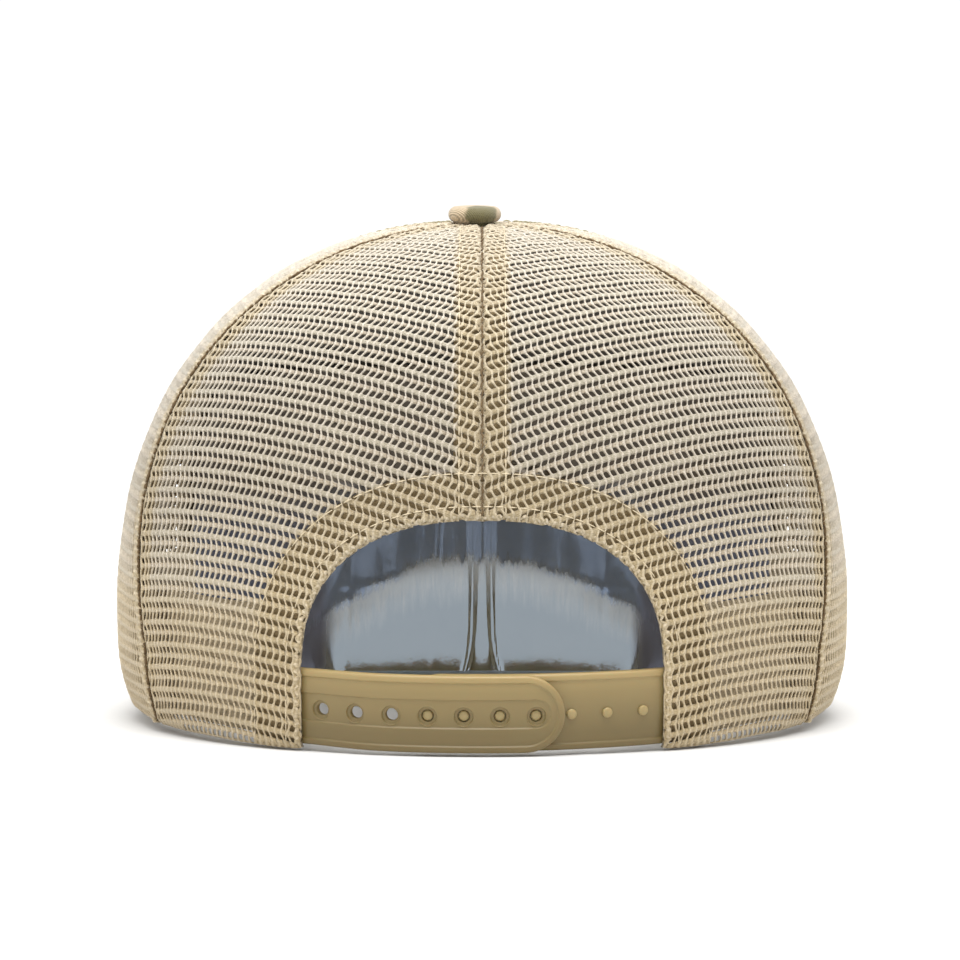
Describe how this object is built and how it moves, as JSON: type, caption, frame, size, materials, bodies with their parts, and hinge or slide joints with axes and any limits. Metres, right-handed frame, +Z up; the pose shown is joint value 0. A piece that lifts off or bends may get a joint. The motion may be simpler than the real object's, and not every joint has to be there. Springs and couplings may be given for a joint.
{
  "type": "trucker mesh cap",
  "caption": "Trucker cap with a mesh back, fabric front, curved visor, arched rear opening and a snapback strap; a clear former stands inside.",
  "frame": {"origin": "centre of the bounding box's base, on the floor plane that the cap stands on", "axes": "+Y to the front, out over the visor; +Z up; +X to the wearer's right. The crown's rim plane is tilted 2.2 degrees, front up"},
  "size_m": [0.198, 0.266, 0.1379],
  "materials": {
    "mesh_fabric": "knitted polyester mesh, tan",
    "camo_twill": "printed cotton twill, beige and olive patches",
    "lining_twill": "woven twill, tan",
    "buckram": "stiffened gauze, dark",
    "foam": "thin open foam",
    "strap_plastic": "satin moulded plastic, tan",
    "board_plastic": "plain sheet plastic",
    "clear_plastic": "clear glossy film, blue grey over the dark lining",
    "button_steel": "pressed steel"
  },
  "bodies": {
    "crown": {"rear_mesh_panel_left": "mesh_fabric", "rear_mesh_panel_right": "mesh_fabric", "side_mesh_panel_left": "mesh_fabric", "side_mesh_panel_right": "mesh_fabric", "front_panel_left": "camo_twill", "front_panel_right": "camo_twill", "front_backing_left": "buckram", "front_backing_right": "buckram", "side_rear_seam_tape_left": "lining_twill", "side_rear_seam_tape_right": "lining_twill", "front_side_seam_tape_left": "lining_twill", "front_side_seam_tape_right": "lining_twill", "front_center_seam_tape": "lining_twill", "rear_center_seam_band": "mesh_fabric", "rear_opening_hem": "mesh_fabric", "sweatband": "lining_twill", "sweatband_foam": "foam", "shape_insert": "clear_plastic", "visor_board": "board_plastic", "visor_top_cover": "camo_twill", "visor_under_cover": "camo_twill", "strap_root_left": "strap_plastic", "strap_root_right": "strap_plastic", "button_cover": "camo_twill", "button_shell": "button_steel", "button_rivet": "button_steel", "button_inner_disc": "board_plastic"},
    "hole_strap": {"strap_with_holes": "strap_plastic"},
    "peg_strap": {"strap_with_pegs": "strap_plastic"}
  },
  "joints": [
    {"name": "hole_strap_swing", "type": "hinge", "parent": "crown", "child": "hole_strap", "pos_m": [-0.04516, -0.11899, 0.01131], "axis": [0.0032, 0.1362, -0.9907], "range_deg": [0, 80]},
    {"name": "peg_strap_swing", "type": "hinge", "parent": "crown", "child": "peg_strap", "pos_m": [0.0444, -0.1176, 0.01154], "axis": [-0.0052, 0.1348, -0.9909], "range_deg": [0, 60]}
  ]
}
